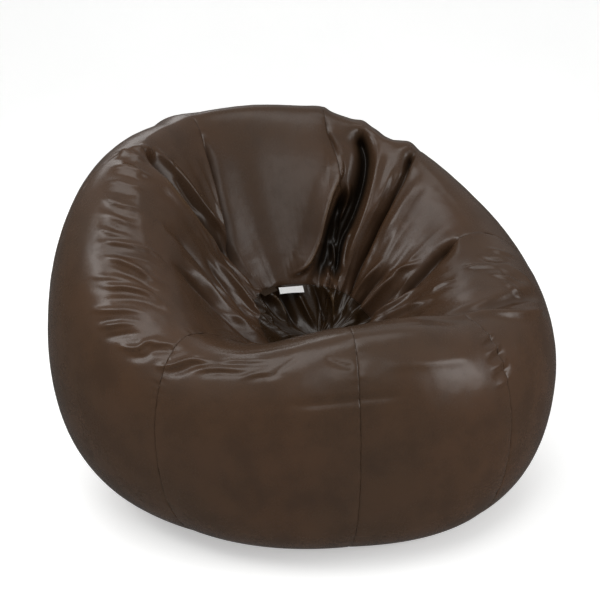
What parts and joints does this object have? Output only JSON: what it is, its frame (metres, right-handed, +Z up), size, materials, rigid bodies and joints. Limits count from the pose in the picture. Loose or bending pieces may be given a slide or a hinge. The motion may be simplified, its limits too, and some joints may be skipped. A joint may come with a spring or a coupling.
{
  "type": "bean bag chair",
  "caption": "Bucket-shaped bean bag chair: panelled vinyl cover with a high back, low front lip and sunken seat, zipped base, inner liner and bead fill.",
  "frame": {"origin": "on the floor under the middle of the chair's plan outline", "axes": "+Z up; the low front lip faces -Y and the high back is at +Y; +X is the right as seen from the front, and left and right in node names are as seen from the front"},
  "size_m": [0.9627, 0.8799, 0.7019],
  "materials": {
    "cover_vinyl": "satin",
    "zip_tape": "matte",
    "zip_coil": "satin",
    "zip_metal": "satin",
    "liner_fabric": "matte",
    "liner_zip_tape": "matte",
    "liner_zip_coil": "satin",
    "bead_fill": "matte",
    "label_cloth": "matte"
  },
  "bodies": {
    "bag": {"side_panel_front": "cover_vinyl", "side_panel_front_right": "cover_vinyl", "side_panel_right": "cover_vinyl", "side_panel_back_right": "cover_vinyl", "side_panel_back": "cover_vinyl", "side_panel_back_left": "cover_vinyl", "side_panel_left": "cover_vinyl", "side_panel_front_left": "cover_vinyl", "top_cap": "cover_vinyl", "base_panel_left": "cover_vinyl", "base_panel_right": "cover_vinyl", "zip_tape_left": "zip_tape", "zip_tape_right": "zip_tape", "zip_coil_left": "zip_coil", "zip_coil_right": "zip_coil", "zip_top_stop": "zip_metal", "zip_bottom_stop": "zip_metal", "zip_guard_flap": "cover_vinyl", "inner_liner": "liner_fabric", "liner_zip_tape_left": "liner_zip_tape", "liner_zip_tape_right": "liner_zip_tape", "liner_zip_coil_left": "liner_zip_coil", "liner_zip_coil_right": "liner_zip_coil", "bead_fill": "bead_fill"},
    "outer_zip_slider": {"zip_slider": "zip_metal"},
    "inner_zip_slider": {"liner_zip_slider": "zip_metal"},
    "label_flap": {"care_label": "label_cloth"},
    "tab_flap": {"seam_tab": "cover_vinyl"}
  },
  "joints": [
    {"name": "outer_zip", "type": "slide", "parent": "bag", "child": "outer_zip_slider", "axis": [0, 1, 0], "range_m": [0, 0.345]},
    {"name": "liner_zip", "type": "slide", "parent": "bag", "child": "inner_zip_slider", "axis": [0, 1, 0], "range_m": [0, 0.288]},
    {"name": "label_bend", "type": "hinge", "parent": "bag", "child": "label_flap", "pos_m": [0.04368, 0.11774, 0.36218], "axis": [-0.9343, 0.3565, -0.0007], "range_deg": [0, 75], "stiffness_Nm_per_rad": 0.002},
    {"name": "tab_bend", "type": "hinge", "parent": "bag", "child": "tab_flap", "pos_m": [-0.01701, 0.11834, 0.36813], "axis": [-0.957, -0.2894, -0.02], "range_deg": [0, 65], "stiffness_Nm_per_rad": 0.01}
  ]
}
